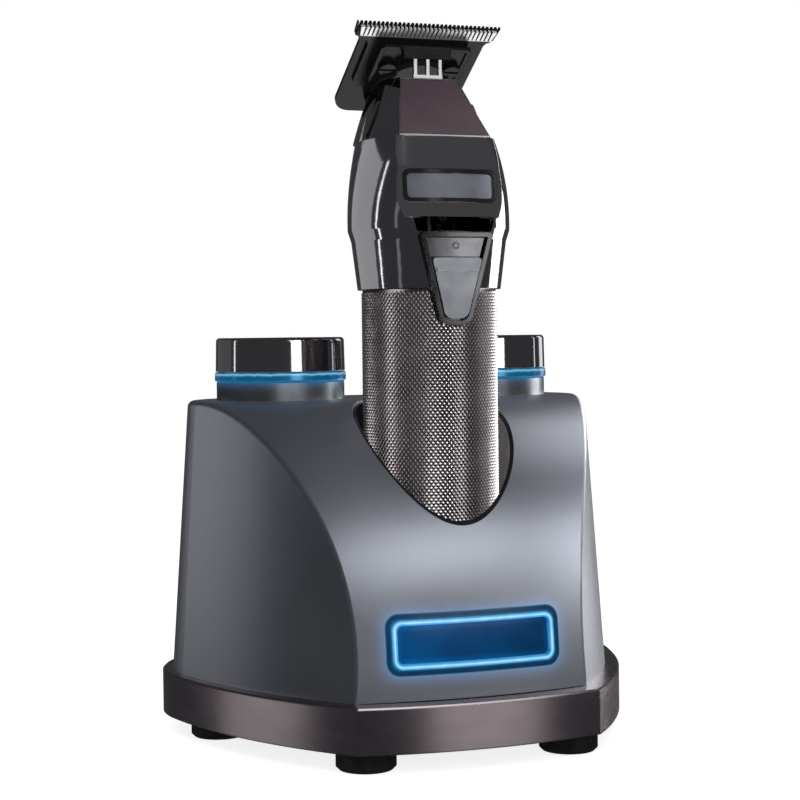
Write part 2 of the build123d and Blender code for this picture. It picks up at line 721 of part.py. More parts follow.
def blade_base():
    """The black block between the head and the blade set."""
    slab = on_slope(block(-30, 30, -20, 60, SEAT + 0.02, GUIDE_BOTTOM + 0.45))
    low = head_bulk(0.4) & slab & block(-30, 30, 1.4, 40, NOSE_TOP + 0.02, 190)
    low += head_bulk(0.4) & slab & block(-30, 30, 8.0, 40, 150, 190)
    spacer = on_slope(block(-10.5, 10.5, 25.2, 31.5, SEAT + 0.5, -FIXED_T - 0.02))
    base = low & on_slope(block(-30, 30, -20, 60, -20, GUIDE_BOTTOM - 0.02)) + spacer
    for x, y in screw_places(BLADE_SCREW_X, BLADE_SCREW_S):
        base -= on_slope(rod(2.6, SEAT - 2, GUIDE_BOTTOM + 1, x, y))
    return base - yoke_window(150) - mount_holes(1.25)


def mount_screws():
    """The two countersunk screws at the blade's heel."""
    screws = []
    for x, y in screw_places(MOUNT_SCREW_X, MOUNT_SCREW_S):
        head = Pos(0, 0, -0.4) * Cone(1.25, 2.2, 0.8) - block(-3, 3, -0.3, 0.3, -0.4, 1)
        screws.append(on_slope(Pos(x, y, 0) * (head + rod(1.2, SEAT - 3, -0.7))))
    return screws


def side_clips():
    """A long rounded clip on each flank of the nose."""
    flank = head_form(-0.5) - head_form()
    slot = Rot(0, 90, 0) * extrude(SlotOverall(9.5, 2.4), 8, both=True)
    return [flank & (Pos(s * 14, 1.5, 161.4) * slot) for s in SIDES.values()]


# ---- export -------------------------------------------------------------------------------------
def save_dock():
    for piece in (
        dock_shell,
        dock_plinth,
        dock_floor,
        rubber_feet,
        floor_screws,
        clipper_pocket,
        contact_block,
        window_frame,
        window_light_guide,
        window_lens,
        window_light_board,
        main_board,
        dc_inlet,
        ballast_weight,
    ):
        save(piece.__name__, piece())
    for piece in (charge_pin, pin_spring, jar_collar, ring_light, light_ring, jar, jar_cap, cap_seal):
        for side, s in SIDES.items():
            save(f"{piece.__name__}_{side}", piece(s))


def save_trimmer():
    for piece in (
        grip_sleeve,
        inner_tube,
        end_cap,
        charge_contacts,
        battery_cell,
        control_board,
        micro_switch,
        switch_bezel,
        switch_indicator,
        switch_slider,
        front_housing,
        back_housing,
        nose_cover,
        badge_bezel,
        badge_plate,
        motor_can,
        motor_bearings,
        motor_rotor,
        eccentric,
        drive_yoke,
        fixed_blade,
        moving_blade,
        blade_guide,
        blade_spring,
        blade_screws,
        blade_base,
        mount_screws,
        side_clips,
    ):
        save(piece.__name__, at_trimmer(piece()))


os.makedirs("parts", exist_ok=True)
save_dock()
save_trimmer()
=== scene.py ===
import json
import math

import bmesh
import bpy
from mathutils import Matrix, Vector


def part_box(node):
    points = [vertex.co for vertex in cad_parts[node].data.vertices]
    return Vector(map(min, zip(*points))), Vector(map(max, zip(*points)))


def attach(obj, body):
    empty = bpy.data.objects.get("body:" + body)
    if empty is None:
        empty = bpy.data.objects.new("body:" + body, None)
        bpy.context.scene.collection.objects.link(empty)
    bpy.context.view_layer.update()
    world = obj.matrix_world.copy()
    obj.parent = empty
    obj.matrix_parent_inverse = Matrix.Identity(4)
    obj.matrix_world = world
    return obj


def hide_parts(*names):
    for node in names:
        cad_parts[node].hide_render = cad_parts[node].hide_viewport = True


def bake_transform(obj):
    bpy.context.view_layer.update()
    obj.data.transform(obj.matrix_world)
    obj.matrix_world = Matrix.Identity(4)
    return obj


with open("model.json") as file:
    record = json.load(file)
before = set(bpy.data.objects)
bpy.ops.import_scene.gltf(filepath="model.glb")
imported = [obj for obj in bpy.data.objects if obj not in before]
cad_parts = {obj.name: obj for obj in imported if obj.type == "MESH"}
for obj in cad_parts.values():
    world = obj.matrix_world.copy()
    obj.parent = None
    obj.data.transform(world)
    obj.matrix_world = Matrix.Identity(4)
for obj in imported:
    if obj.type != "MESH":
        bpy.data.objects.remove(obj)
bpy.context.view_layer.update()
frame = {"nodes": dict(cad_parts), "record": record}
scene = bpy.context.scene
nodes = frame["nodes"]
MM = 0.001


# ---- camera -------------------------------------------------------------------------------------
CAMERA_PLACE = Vector((-0.1692, -0.4591, 0.1052))
CAMERA_TURN, CAMERA_DOWN, CAMERA_ROLL = 19.874, 1.968, -0.646  # degrees
LENS, SENSOR = 82.17, 36.0  # mm


def add_camera():
    """A long lens, a little above the middle of the object, in front and to its left."""
    turn, down, roll = (math.radians(angle) for angle in (CAMERA_TURN, CAMERA_DOWN, CAMERA_ROLL))
    level = math.cos(down)
    forward = Vector((math.sin(turn) * level, math.cos(turn) * level, -math.sin(down)))
    right = Vector((math.cos(turn), -math.sin(turn), 0))
    up = right.cross(forward)
    across = math.cos(roll) * right + math.sin(roll) * up
    upward = math.cos(roll) * up - math.sin(roll) * right
    data = bpy.data.cameras.new("camera")
    data.sensor_width = SENSOR
    data.lens = LENS
    camera = bpy.data.objects.new("camera", data)
    rows = Matrix((across, upward, -forward)).transposed().to_4x4()
    camera.matrix_world = Matrix.Translation(CAMERA_PLACE) @ rows
    scene.collection.objects.link(camera)
    scene.camera = camera


# ---- light --------------------------------------------------------------------------------------
MIDDLE = Vector((0, 0, 0.1))  # what the panels face
# Soft panels round the object, a metre off: which pieces each one lights, its bearing from the
# front towards the right and its elevation in degrees, its width and height in metres, and its
# radiance. They stand where the shiny pieces mirror them, so each group of pieces has its own.
PANELS = [
    ("trimmer", -98, 0, 0.05, 1.0, 2.6),
    ("trimmer", -134, 2, 1.0, 1.0, 0.52),
    ("trimmer", -66, 0, 0.08, 1.0, 0.25),
    ("trimmer", 104, 0, 0.50, 1.0, 3.6),
    ("trimmer", 25, 62, 0.9, 0.35, 1.1),
    ("trimmer", 20, 20, 1.6, 1.6, 0.05),
    ("face", 24, 3, 0.12, 0.30, 1.9),
    ("face", 8, 14, 0.14, 0.20, 1.2),
    ("face", 60, 0, 0.10, 0.7, 6.0),
    ("face", -45, 0, 0.08, 0.7, 6.0),
    ("face", 20, 45, 0.8, 0.2, 1.4),
    ("face", -118, 0, 0.5, 0.6, 3.0),
    ("face", 130, 0, 0.5, 0.6, 4.0),
    ("face", 20, -60, 0.8, 0.4, 2.4),
    ("blades", 131, -63, 0.6, 0.5, 1.7),
    ("blades", 30, -60, 0.9, 0.3, 2.0),
    ("blades", 20, 10, 0.5, 0.5, 1.0),
    ("blades", -80, 0, 0.4, 0.8, 2.2),
    ("blades", -130, -20, 0.4, 0.6, 3.0),
    ("blades", 40, 45, 0.6, 0.4, 3.0),
    ("grip", -80, 5, 0.50, 0.9, 5.0),
    ("grip", -30, 30, 0.25, 0.5, 2.6),
    ("grip", 20, -30, 0.9, 0.4, 0.4),
    ("grip", 30, 30, 0.5, 0.4, 0.5),
    ("grip", 105, 42, 0.8, 0.6, 11.0),
    ("grip", 105, -42, 0.8, 0.6, 6.0),
    ("grip", 64, 8, 0.8, 0.9, 4.0),
    ("shell", 14, 27, 0.8, 0.26, 6.4),
    ("shell", 60, 16, 0.5, 0.4, 6.5),
    ("shell", 100, 45, 0.6, 0.4, 2.5),
    ("shell", 16, -6, 1.1, 0.3, 0.95),
    ("shell", 112, 6, 0.4, 0.7, 3.8),
    ("shell", 120, 20, 0.5, 0.3, 9.0),
    ("shell", -128, 6, 0.7, 0.6, 1.05),
    ("plinth", 21, 0, 0.50, 0.7, 1.2),
    ("plinth", -104, 0, 0.50, 0.7, 0.8),
    ("plinth", 100, 4, 0.4, 0.7, 6.0),
    ("plinth", 20, 75, 1.2, 0.5, 3.0),
    ("caps", 11, 2, 0.32, 0.8, 3.6),
    ("caps", -105, 0, 0.05, 0.8, 2.2),
    ("caps", -138, 0, 0.9, 0.8, 0.08),
    ("caps", 91, 0, 0.04, 0.8, 2.0),
    ("caps", 118, 0, 0.3, 0.8, 1.4),
    ("collars", 0, 10, 0.9, 0.6, 2.4),
    ("collars", 95, 5, 0.5, 0.6, 7.0),
    ("small", 21, 12, 0.5, 0.3, 1.0),
    ("small", -100, 20, 0.4, 0.6, 1.0),
]
# Panels that light every piece, but that no piece mirrors.
FILL_PANELS = [(-40, 68, 1.3, 1.3, 0.7), (5, 20, 0.9, 0.6, 0.9)]
# What the room sends out: (colour, strength) to matt surfaces, to mirrors and to the camera.
ROOM_MATT = ((0.95, 0.97, 1.0), 0.22)
ROOM_MIRRORED = ((0.9, 0.92, 1.0), 0.07)
ROOM_SEEN = ((1, 1, 1), 1.0)


def starting(*words):
    """The names of the nodes that start with one of the words."""
    return [n for n in nodes if n.startswith(words)]


def lit_groups(grip, springs):
    """The sets of pieces that the panels light, by name."""
    bodies = frame["record"]["behaviour"]["bodies"]
    members = {
        "face": starting("switch_", "badge_"),
        "blades": starting("fixed_blade", "moving_blade", "blade_", "mount_screws"),
        "shell": ["dock_shell"],
        "plinth": ["dock_plinth"],
        "caps": starting("jar_cap", "light_ring"),
        "collars": starting("jar_collar"),
        "trimmer": [n for body in ("trimmer", "rotor") for n in bodies[body]],
    }
    groups, taken = {}, set()
    for name, names in members.items():
        groups[name] = [nodes[n] for n in names if n not in taken]
        taken.update(names)
    groups["grip"] = [grip]
    groups["small"] = [nodes[n] for n in nodes if n not in taken] + springs
    collections = {}
    for name, pieces in groups.items():
        collections[name] = bpy.data.collections.new("lit " + name)
        for piece in pieces:
            collections[name].objects.link(piece)
    return collections


def panel(lit, blockers, bearing, elevation, width, height, radiance):
    """A panel on the pieces in lit only, shaded by those in blockers only, or on every piece."""
    data = bpy.data.lights.new("panel", "AREA")
    data.shape = "RECTANGLE"
    data.size, data.size_y = width, height
    data.energy = radiance * math.pi * width * height
    light = bpy.data.objects.new("panel", data)
    a, e = math.radians(bearing), math.radians(elevation)
    level = math.cos(e)
    light.location = MIDDLE + Vector((math.sin(a) * level, -math.cos(a) * level, math.sin(e)))
    light.rotation_euler = (MIDDLE - light.location).to_track_quat("-Z", "Y").to_euler()
    scene.collection.objects.link(light)
    light.visible_camera = False
    if lit:
        light.light_linking.receiver_collection = lit
        light.light_linking.blocker_collection = blockers
    return light


def add_lights(grip, springs):
    """The panels, and a world that differs for matt surfaces, for mirrors and for the camera."""
    groups = lit_groups(grip, springs)
    # Only the fixed blade shades the blades: the pieces close under it would leave the teeth dark.
    behind = bpy.data.collections.new("behind the teeth")
    behind.objects.link(nodes["fixed_blade"])
    blockers = {"blades": behind}
    for name, *shape in PANELS:
        panel(groups[name], blockers.get(name, groups[name]), *shape)
    for shape in FILL_PANELS:
        panel(None, None, *shape).visible_glossy = False
    world = bpy.data.worlds.new("studio")
    scene.world = world
    world.use_nodes = True
    tree = world.node_tree
    tree.nodes.clear()

    def background(colour, strength):
        made = tree.nodes.new("ShaderNodeBackground")
        made.inputs["Color"].default_value = (*colour, 1)
        made.inputs["Strength"].default_value = strength
        return made.outputs[0]

    def mixed(amount, one, two):
        made = tree.nodes.new("ShaderNodeMixShader")
        for socket, value in zip(made.inputs, (amount, one, two)):
            tree.links.new(value, socket)
        return made.outputs[0]

    path = tree.nodes.new("ShaderNodeLightPath")
    room = mixed(path.outputs["Is Glossy Ray"], background(*ROOM_MATT), background(*ROOM_MIRRORED))
    out = tree.nodes.new("ShaderNodeOutputWorld")
    whole = mixed(path.outputs["Is Camera Ray"], room, background(*ROOM_SEEN))
    tree.links.new(whole, out.inputs["Surface"])
    scene.view_settings.view_transform = "Standard"
    scene.view_settings.look = "None"


# ---- materials ----------------------------------------------------------------------------------
NOISE = (0.3, 0.7)  # the range that most of a noise texture's values keep within


class Look:
    """A procedural material being built; lengths are in metres, in the object's own coordinates."""

    def __init__(self, name):
        self.material = bpy.data.materials.new(name)
        self.material.use_nodes = True
        self.tree = self.material.node_tree
        self.shader = self.tree.nodes["Principled BSDF"]
        self.place = self.node("ShaderNodeTexCoord").outputs["Object"]
        self.relief = None

    def node(self, kind, **inputs):
        """A new node; an input's name has underscores for its spaces."""
        made = self.tree.nodes.new(kind)
        for key, value in inputs.items():
            self.feed(made.inputs[key.replace("_", " ")], value)
        return made

    def feed(self, socket, value):
        """Links a node's output to the socket, or sets the socket's own value."""
        if isinstance(value, bpy.types.NodeSocket):
            self.tree.links.new(value, socket)
        else:
            socket.default_value = value

    def set(self, **inputs):
        """Inputs of the material's shader."""
        for key, value in inputs.items():
            self.feed(self.shader.inputs[key.replace("_", " ")], value)

    def stretched(self, x, y, z):
        """The object's coordinates, scaled."""
        made = self.node("ShaderNodeMapping", Vector=self.place)
        made.inputs["Scale"].default_value = (x, y, z)
        return made.outputs[0]

    def noise(self, size, detail=3.0, rough=0.5, along=None):
        """A noise with blobs of about that size."""
        made = self.node("ShaderNodeTexNoise", Vector=along or self.place)
        made.inputs["Scale"].default_value = 1 / size
        made.inputs["Detail"].default_value = detail
        made.inputs["Roughness"].default_value = rough
        return made.outputs["Fac"]

    def ramp(self, amount, *stops):
        """A colour by amount, between stops of (amount, colour)."""
        made = self.node("ShaderNodeValToRGB", Fac=amount)
        elements = made.color_ramp.elements
        while len(elements) < len(stops):
            elements.new(0.5)
        for element, (position, colour) in zip(elements, stops):
            element.position = position
            element.color = (*colour, 1)
        return made.outputs[0]

    def span(self, amount, low, high, start=0.0, end=1.0):
        """Low where amount is at start, high where it is at end, and level beyond them."""
        made = self.node("ShaderNodeMapRange", Value=amount)
        ends = {"From Min": start, "From Max": end, "To Min": low, "To Max": high}
        for key, value in ends.items():
            made.inputs[key].default_value = value
        return made.outputs[0]

    def maths(self, operation, a, b=0.0):
        made = self.node("ShaderNodeMath")
        made.operation = operation
        self.feed(made.inputs[0], a)
        self.feed(made.inputs[1], b)
        return made.outputs[0]

    def shared(self, a, b, share):
        """The two amounts added up, with that share of a."""
        rest = self.maths("MULTIPLY", b, 1 - share)
        return self.maths("ADD", self.maths("MULTIPLY", a, share), rest)

    def vector(self, operation, a, b=(0, 0, 0)):
        made = self.node("ShaderNodeVectorMath")
        made.operation = operation
        self.feed(made.inputs[0], a)
        self.feed(made.inputs[1], b)
        return made.outputs["Value"] if operation == "LENGTH" else made.outputs[0]

    def axis(self, name):
        return self.node("ShaderNodeSeparateXYZ", Vector=self.place).outputs[name]

    def rounded(self, radius):
        """Catches the light on the small radius that every real edge has."""
        made = self.node("ShaderNodeBevel")
        made.samples = 4
        made.inputs["Radius"].default_value = radius
        self.relief = made.outputs[0]
        self.tree.links.new(self.relief, self.shader.inputs["Normal"])

    def bump(self, height, depth, strength):
        """Adds fine relief to what the surface already has."""
        made = self.node("ShaderNodeBump", Height=height)
        made.inputs["Distance"].default_value = depth
        made.inputs["Strength"].default_value = strength
        if self.relief is not None:
            self.tree.links.new(self.relief, made.inputs["Normal"])
        self.relief = made.outputs[0]
        self.tree.links.new(self.relief, self.shader.inputs["Normal"])

    def varied(self, colour, spread, size):
        """A colour that wanders by spread, up and down, over patches of that size."""
        low = tuple(c * (1 - spread) for c in colour)
        high = tuple(min(c * (1 + spread), 1) for c in colour)
        self.set(Base_Color=self.ramp(self.noise(size), (NOISE[0], low), (NOISE[1], high)))


def rounded_distance(look, centre, half_x, half_z, corner):
    """Distance from a rounded rectangle seen from the front: below zero inside its outline."""
    offset = look.vector("SUBTRACT", look.place, centre)
    folded = look.vector("ABSOLUTE", offset)
    flat = look.vector("MULTIPLY", folded, (1, 0, 1))
    inner = (half_x - corner, 0, half_z - corner)
    beyond = look.vector("MAXIMUM", look.vector("SUBTRACT", flat, inner))
    return look.maths("SUBTRACT", look.vector("LENGTH", beyond), corner)


WINDOW_CORNER = 3.4 * MM
GLOW_REACH = 4.5 * MM  # how far the window's light, painted as a glow, shows on the paint round it
GLOW_FRONT, GLOW_BACK = -38 * MM, -30 * MM  # between these depths it fades to nothing
PAINTED_SPILL = 0.22  # the strength of the lit pieces' light, painted as a glow on their neighbours
BEAD_INSET, BEAD_CORNER = 2.15 * MM, 1.9 * MM  # the bead's middle line, inside the frame's outline
BEAD_HALF_W = 0.8 * MM
LENS_INSET, LENS_CORNER = 2.9 * MM, 1.5 * MM
LENS_HALF_W = 20 * MM
RIM_W = 1.5 * MM  # from the frame's outline in to the bead
COLLAR_GLOW = 3.2 * MM  # how far the ring's light, painted as a glow, reaches down its collar
BARE_TEETH = 2.7 * MM  # from the tips back to the black coating
COATING_EDGE = 0.4 * MM
POLISHED = 0.0006 * MM  # how deep the machining lines are in a polished face
LINES_BACK = (1, 0.05, 0.05)  # scales that draw a noise out into lines from front to back


def window_place():
    """The window frame's centre seen from the front, and half of its width and of its height."""
    low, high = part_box("window_frame")
    centre = Vector(((low.x + high.x) / 2, 0, (low.z + high.z) / 2))
    return centre, (high.x - low.x) / 2, (high.z - low.z) / 2


def dock_paint():
    """Satin blue-grey paint with fine flakes, with the window's light painted round its frame as a
    blue glow.
    """
    look = Look("dock_paint")
    flakes = look.noise(0.16 * MM, detail=1.0)
    cloud = look.noise(38 * MM, detail=2.0)
    tone = look.ramp(look.shared(flakes, cloud, 0.45),
                     (0.34, (0.150, 0.159, 0.184)), (0.66, (0.190, 0.200, 0.227)))
    look.set(Base_Color=tone, Metallic=0.8, Roughness=look.span(cloud, 0.34, 0.40, *NOISE))
    look.bump(flakes, 0.006 * MM, 0.35)
    look.bump(look.noise(1.1 * MM, detail=2.0), 0.01 * MM, 0.4)
    # Painted glow: the window's light, as emission on the paint close round its frame.
    centre, half_x, half_z = window_place()
    gap = rounded_distance(look, centre, half_x, half_z, WINDOW_CORNER)
    near = look.maths("POWER", look.span(gap, 1.0, 0.0, 0.0, GLOW_REACH), 2.5)
    front = look.span(look.axis("Y"), 1.0, 0.0, GLOW_FRONT, GLOW_BACK)
    glow = look.maths("MULTIPLY", look.maths("MULTIPLY", near, front), PAINTED_SPILL)
    look.set(Emission_Color=(0.08, 0.42, 1.0, 1), Emission_Strength=glow)
    return look.material


def dark_band():
    """Dark brushed metal, its grain running round the plinth."""
    look = Look("dark_band")
    streaks = look.noise(0.11 * MM, detail=3.0, along=look.stretched(0.02, 0.02, 1))
    haze = look.noise(16 * MM, detail=2.0, along=look.stretched(1, 1, 2.5))
    tone = look.ramp(streaks, (0.3, (0.250, 0.208, 0.224)), (0.7, (0.300, 0.252, 0.270)))
    uneven = look.shared(streaks, haze, 0.5)
    look.set(Base_Color=tone, Metallic=1.0, Roughness=look.span(uneven, 0.20, 0.30, *NOISE))
    look.rounded(0.5 * MM)
    look.bump(streaks, 0.0006 * MM, 0.3)
    return look.material


def black_plastic():
    look = Look("black_plastic")
    grain = look.noise(0.35 * MM, detail=3.0, rough=0.6)
    look.varied((0.012, 0.012, 0.014), 0.4, 4 * MM)
    look.set(Roughness=look.span(grain, 0.34, 0.55))
    look.bump(grain, 0.02 * MM, 0.5)
    return look.material


def black_rubber():
    look = Look("black_rubber")
    grain = look.noise(0.25 * MM, detail=4.0, rough=0.65)
    dust = look.noise(3 * MM, detail=4.0)
    tone = look.ramp(dust, (0.35, (0.008, 0.008, 0.009)), (0.75, (0.024, 0.023, 0.023)))
    look.set(Base_Color=tone, Roughness=look.span(dust, 0.48, 0.72, *NOISE))
    look.bump(grain, 0.03 * MM, 0.6)
    return look.material


def metal(name, colour, spread, roughness, patch=6 * MM, turned=(1, 1, 1), depth=0.003 * MM):
    """Bare or plated metal: hazy patches in its gloss, and fine machining lines."""
    look = Look(name)
    haze = look.noise(patch, detail=3.0)
    lines = look.noise(0.12 * MM, detail=2.0, along=look.stretched(*turned))
    look.varied(colour, spread, patch * 1.7)
    look.set(Metallic=1.0, Roughness=look.span(haze, *roughness, *NOISE))
    look.rounded(0.25 * MM)
    look.bump(lines, depth, 0.35)
    return look.material


def glowing_bead():
    """White-hot along its middle and blue at its edges."""
    look = Look("glowing_bead")
    centre, half_x, half_z = window_place()
    gap = rounded_distance(look, centre, half_x - BEAD_INSET, half_z - BEAD_INSET, BEAD_CORNER)
    off = look.maths("ABSOLUTE", gap)
    ripple = look.span(look.noise(2.5 * MM, detail=1.0), -0.05 * MM, 0.05 * MM, *NOISE)
    fade = look.maths("ADD", off, ripple)
    tone = look.ramp(look.span(fade, 0.0, 1.0, 0.0, BEAD_HALF_W),
                     (0.0, (0.60, 0.87, 0.95)), (0.40, (0.10, 0.48, 0.80)),
                     (1.0, (0.003, 0.10, 0.28)))
    look.set(Base_Color=(0.04, 0.20, 0.42, 1), Roughness=0.25)
    look.set(Emission_Color=tone, Emission_Strength=0.85)
    look.bump(look.noise(0.5 * MM), 0.01 * MM, 0.3)
    return look.material


def frame_blue():
    """The dark rim outside the bead, with the bead's light painted on it as a blue glow."""
    look = Look("window_rim")
    centre, half_x, half_z = window_place()
    gap = rounded_distance(look, centre, half_x, half_z, WINDOW_CORNER)
    # Painted glow: bright blue at the rim's inner and outer edges, dark between them.
    tone = look.ramp(look.span(gap, 0.0, 1.0, -RIM_W, 0.1 * MM),
                     (0.0, (0.01, 0.17, 0.42)), (0.35, (0.0, 0.035, 0.10)),
                     (0.75, (0.0, 0.03, 0.085)), (1.0, (0.02, 0.25, 0.48)))
    look.varied((0.012, 0.03, 0.06), 0.3, 2 * MM)
    look.set(Roughness=0.22, Emission_Color=tone, Emission_Strength=0.55)
    look.bump(look.noise(0.4 * MM), 0.008 * MM, 0.3)
    return look.material


def blue_lens():
    """Deep blue, brighter towards its rim and its left, where the light behind it is strongest."""
    look = Look("blue_lens")
    centre, half_x, half_z = window_place()
    gap = rounded_distance(look, centre, half_x - LENS_INSET, half_z - LENS_INSET, LENS_CORNER)
    sideways = look.span(look.axis("X"), 1.0, 0.45, -LENS_HALF_W, LENS_HALF_W)
    cloud = look.span(look.noise(9 * MM, detail=2.0), 0.82, 1.15, *NOISE)
    rim = look.span(gap, 1.0, 1.9, -1.6 * MM, 0.0)
    level = look.maths("MULTIPLY", look.maths("MULTIPLY", sideways, cloud), rim)
    tone = look.ramp(level, (0.3, (0.0, 0.008, 0.02)), (1.0, (0.0, 0.015, 0.04)))
    look.set(Base_Color=tone, Roughness=0.16)
    glow = look.maths("MULTIPLY", level, 0.85)
    look.set(Emission_Color=(0.0, 0.057, 0.19, 1), Emission_Strength=glow)
    look.bump(look.noise(1.2 * MM), 0.006 * MM, 0.3)
    return look.material


def ring_glow(name, node, strength):
    """A lit ring: palest along a line above its middle, and deeper blue towards its edges."""
    look = Look(name)
    low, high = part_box(node)
    height = look.span(look.axis("Z"), 0.0, 1.0, low.z, high.z)
    ripple = look.span(look.noise(1.8 * MM, detail=2.0), -0.05, 0.05, *NOISE)
    tone = look.ramp(look.maths("ADD", height, ripple),
                     (0.0, (0.0, 0.30, 0.62)), (0.22, (0.0, 0.10, 0.26)),
                     (0.55, (0.0, 0.11, 0.27)), (0.70, (0.10, 0.55, 0.85)),
                     (0.78, (0.75, 0.97, 1.0)), (0.86, (0.06, 0.42, 0.74)),
                     (1.0, (0.0, 0.08, 0.24)))
    look.set(Base_Color=(0.02, 0.12, 0.22, 1), Metallic=0.5, Roughness=0.2)
    look.set(Emission_Color=tone, Emission_Strength=strength)
    look.bump(look.noise(0.6 * MM), 0.004 * MM, 0.3)
    return look.material


def collar_painted_glow():
    """Dark satin, with the ring's blue light painted on its upper edge as a glow."""
    look = Look("collar_painted_glow")
    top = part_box("jar_collar_left")[1].z
    # Painted glow, strongest at the collar's top.
    near = look.maths("POWER", look.span(look.axis("Z"), 0.0, 1.0, top - COLLAR_GLOW, top), 2.0)
    haze = look.noise(4 * MM, detail=3.0)
    look.varied((0.10, 0.105, 0.115), 0.2, 5 * MM)
    look.set(Metallic=0.6, Roughness=look.span(haze, 0.26, 0.34, *NOISE))
    glow = look.maths("MULTIPLY", near, PAINTED_SPILL)
    look.set(Emission_Color=(0.06, 0.36, 0.8, 1), Emission_Strength=glow)
    look.bump(look.noise(0.3 * MM, detail=2.0), 0.002 * MM, 0.4)
    return look.material


def circuit_board():
    look = Look("circuit_board")
    cells = look.node("ShaderNodeTexVoronoi", Vector=look.place)
    cells.inputs["Scale"].default_value = 1 / (2.2 * MM)
    copper = look.span(cells.outputs["Distance"], 1.0, 0.0, 0.18, 0.24)
    look.set(Base_Color=look.ramp(copper, (0.0, (0.008, 0.05, 0.022)), (1.0, (0.35, 0.24, 0.09))))
    look.set(Roughness=look.span(look.noise(2 * MM), 0.32, 0.5))
    look.bump(copper, 0.03 * MM, 0.5)
    return look.material


def plastic(name, colour, roughness, spread=0.12, depth=0.01 * MM, **more):
    """Moulded or painted plastic with a fine grain; more goes to the shader."""
    look = Look(name)
    look.varied(colour, spread, 7 * MM)
    haze = look.noise(3 * MM, detail=4.0)
    look.set(Roughness=look.span(haze, *roughness, *NOISE), **more)
    look.bump(look.noise(0.5 * MM, detail=3.0), depth, 0.4)
    return look.material


def knurled_steel():
    """Steel with painted shade in the knurl's valleys and a painted highlight on its crests."""
    look = Look("knurled_steel")
    low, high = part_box("grip_sleeve")
    axis_y = (low.y + high.y) / 2
    radial = look.vector("MULTIPLY", look.vector("SUBTRACT", look.place, (0, axis_y, 0)), (1, 1, 0))
    from_axis = look.vector("LENGTH", radial)
    # Painted shade in the valleys and a painted highlight on the crests, by distance from the axis.
    crest = look.span(from_axis, 0.0, 1.0, VALLEY_SHADE_R, CREST_SHINE_R)
    patches = look.span(look.noise(9 * MM, detail=2.0), -0.05, 0.05, *NOISE)
    crest_shine_and_patches = look.maths("ADD", crest, patches)
    tone = look.ramp(crest_shine_and_patches, (0.05, (0.10, 0.088, 0.092)), (0.5, (0.34, 0.31, 0.318)),
                     (0.9, (0.78, 0.74, 0.745)))
    haze = look.noise(6 * MM, detail=2.0)
    look.set(Base_Color=tone, Metallic=1.0, Roughness=look.span(haze, 0.22, 0.28, *NOISE))
    look.bump(look.noise(0.2 * MM, detail=2.0), 0.0012 * MM, 0.3)
    return look.material


def blade_black():
    look = Look("blade_black")
    haze = look.noise(3.5 * MM, detail=3.0)
    lines = look.noise(0.1 * MM, detail=2.0, along=look.stretched(*LINES_BACK))
    tone = look.ramp(haze, (0.3, (0.012, 0.012, 0.013)), (0.7, (0.018, 0.0175, 0.0185)))
    look.set(Base_Color=tone, Metallic=0.7, Specular_IOR_Level=0.2)
    look.set(Roughness=look.span(haze, 0.22, 0.27, *NOISE))
    look.rounded(0.25 * MM)
    look.bump(lines, 0.001 * MM, 0.4)
    return look.material


def ground_teeth():
    """The moving blade: bare ground teeth, with the black coating behind them."""
    look = Look("ground_teeth")
    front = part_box("moving_blade")[0].y
    edge = front + BARE_TEETH
    coated = look.span(look.axis("Y"), 0.0, 1.0, edge, edge + COATING_EDGE)
    haze = look.noise(2 * MM, detail=2.0)
    look.set(Base_Color=look.ramp(coated, (0.0, (0.80, 0.79, 0.78)), (1.0, (0.030, 0.030, 0.032))))
    look.set(Metallic=1.0, Roughness=look.span(haze, 0.34, 0.42, *NOISE))
    lines = look.noise(0.1 * MM, detail=2.0, along=look.stretched(*LINES_BACK))
    look.bump(lines, POLISHED, 0.4)
    return look.material


